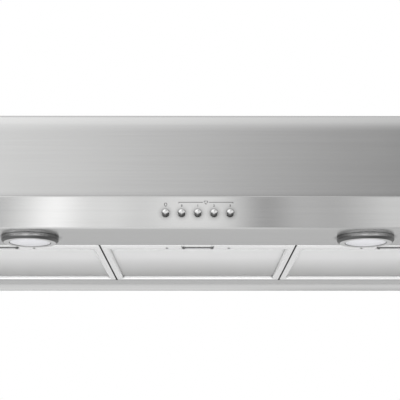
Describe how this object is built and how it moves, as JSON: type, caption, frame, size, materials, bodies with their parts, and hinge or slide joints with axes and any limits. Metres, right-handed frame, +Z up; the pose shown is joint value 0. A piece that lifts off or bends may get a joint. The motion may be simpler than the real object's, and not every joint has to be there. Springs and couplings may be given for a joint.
{
  "type": "under cabinet range hood",
  "caption": "Wide brushed-steel range hood for fixing under a wall cabinet, with rolled front, push buttons, round lamps, latched filters, blower and top duct outlet.",
  "frame": {"origin": "on the flat top face that is screwed to the cabinet, midway across the width and over the middle of the casing's depth", "axes": "+X to the right of a person facing the hood, -Y out of the front towards that person, +Z up"},
  "size_m": [0.914, 0.566, 0.2172],
  "materials": {
    "steel": "horizontally brushed stainless steel",
    "filter": "satin",
    "zinc": "galvanised, dull",
    "chrome": "polished",
    "cast_aluminium": "as cast",
    "lens": "frosted",
    "bulb": "clear reflector bulb",
    "ceramic": "unglazed",
    "black_plastic": "moulded",
    "board": "lacquered board"
  },
  "bodies": {
    "hood_casing": {"front_panel": "steel", "side_panel_left": "steel", "side_panel_right": "steel", "top_panel": "steel", "rear_rail": "steel", "back_panel": "zinc", "rear_blanking_plate": "zinc", "filter_rail_left": "zinc", "filter_rail_right": "zinc", "duct_collar": "zinc", "damper_pin": "zinc", "blower_scroll": "zinc", "blower_plate_left": "zinc", "blower_plate_right": "zinc", "motor_bracket": "zinc", "wiring_box": "zinc", "wiring_box_cover": "zinc", "capacitor_clip": "zinc", "lamp_housing_left": "zinc", "lamp_housing_right": "zinc", "wiring_cover_screw_1": "zinc", "wiring_cover_screw_2": "zinc", "blower_screw_1": "zinc", "blower_screw_2": "zinc", "blower_screw_3": "zinc", "blower_screw_4": "zinc", "lamp_bulb_left": "bulb", "lamp_socket_left": "ceramic", "lamp_bulb_right": "bulb", "lamp_socket_right": "ceramic", "motor": "cast_aluminium", "capacitor": "black_plastic", "cable_gland": "black_plastic", "gland_locknut": "black_plastic", "switch_housing": "black_plastic", "control_board": "board"},
    "damper": {"damper_flap": "zinc"},
    "blower_rotor": {"blower_wheel": "zinc", "motor_shaft": "cast_aluminium"},
    "filter_left": {"filter_frame_left": "filter", "filter_mesh_left": "filter"},
    "latch_left": {"filter_latch_left": "filter"},
    "filter_centre": {"filter_frame_centre": "filter", "filter_mesh_centre": "filter"},
    "latch_centre": {"filter_latch_centre": "filter"},
    "filter_right": {"filter_frame_right": "filter", "filter_mesh_right": "filter"},
    "latch_right": {"filter_latch_right": "filter"},
    "lamp_cover_left": {"lamp_bezel_left": "chrome", "lamp_lens_left": "lens"},
    "lamp_cover_right": {"lamp_bezel_right": "chrome", "lamp_lens_right": "lens"},
    "push_button_1": {"button_1": "chrome"},
    "push_button_2": {"button_2": "chrome"},
    "push_button_3": {"button_3": "chrome"},
    "push_button_4": {"button_4": "chrome"},
    "push_button_5": {"button_5": "chrome"}
  },
  "joints": [
    {"name": "button_1_press", "type": "slide", "parent": "hood_casing", "child": "push_button_1", "axis": [0, 1, 0], "range_m": [0, 0.003], "stiffness_N_per_m": 400, "springref_m": -0.002},
    {"name": "button_2_press", "type": "slide", "parent": "hood_casing", "child": "push_button_2", "axis": [0, 1, 0], "range_m": [0, 0.003], "stiffness_N_per_m": 400, "springref_m": -0.002},
    {"name": "button_3_press", "type": "slide", "parent": "hood_casing", "child": "push_button_3", "axis": [0, 1, 0], "range_m": [0, 0.003], "stiffness_N_per_m": 400, "springref_m": -0.002},
    {"name": "button_4_press", "type": "slide", "parent": "hood_casing", "child": "push_button_4", "axis": [0, 1, 0], "range_m": [0, 0.003], "stiffness_N_per_m": 400, "springref_m": -0.002},
    {"name": "button_5_press", "type": "slide", "parent": "hood_casing", "child": "push_button_5", "axis": [0, 1, 0], "range_m": [0, 0.003], "stiffness_N_per_m": 400, "springref_m": -0.002},
    {"name": "filter_left_drop", "type": "hinge", "parent": "hood_casing", "child": "filter_left", "pos_m": [-0.289, 0.1955, -0.176], "axis": [1, 0, 0], "range_deg": [0, 70]},
    {"name": "filter_left_latch_slide", "type": "slide", "parent": "filter_left", "child": "latch_left", "axis": [0, 1, 0], "range_m": [0, 0.005], "stiffness_N_per_m": 800, "springref_m": -0.003},
    {"name": "filter_centre_drop", "type": "hinge", "parent": "hood_casing", "child": "filter_centre", "pos_m": [0, 0.1955, -0.176], "axis": [1, 0, 0], "range_deg": [0, 70]},
    {"name": "filter_centre_latch_slide", "type": "slide", "parent": "filter_centre", "child": "latch_centre", "axis": [0, 1, 0], "range_m": [0, 0.005], "stiffness_N_per_m": 800, "springref_m": -0.003},
    {"name": "filter_right_drop", "type": "hinge", "parent": "hood_casing", "child": "filter_right", "pos_m": [0.289, 0.1955, -0.176], "axis": [1, 0, 0], "range_deg": [0, 70]},
    {"name": "filter_right_latch_slide", "type": "slide", "parent": "filter_right", "child": "latch_right", "axis": [0, 1, 0], "range_m": [0, 0.005], "stiffness_N_per_m": 800, "springref_m": -0.003},
    {"name": "damper_swing", "type": "hinge", "parent": "hood_casing", "child": "damper", "pos_m": [0, 0.2295, 0.0065], "axis": [-1, 0, 0], "range_deg": [0, 75]},
    {"name": "blower_spin", "type": "hinge", "parent": "hood_casing", "child": "blower_rotor", "pos_m": [0, 0.15, -0.08], "axis": [1, 0, 0], "continuous": true},
    {"name": "lamp_cover_left_twist", "type": "hinge", "parent": "hood_casing", "child": "lamp_cover_left", "pos_m": [-0.2355, -0.2155, -0.178], "axis": [0, 0, 1], "range_deg": [0, 30]},
    {"name": "lamp_cover_right_twist", "type": "hinge", "parent": "hood_casing", "child": "lamp_cover_right", "pos_m": [0.2355, -0.2155, -0.178], "axis": [0, 0, 1], "range_deg": [0, 30]}
  ]
}
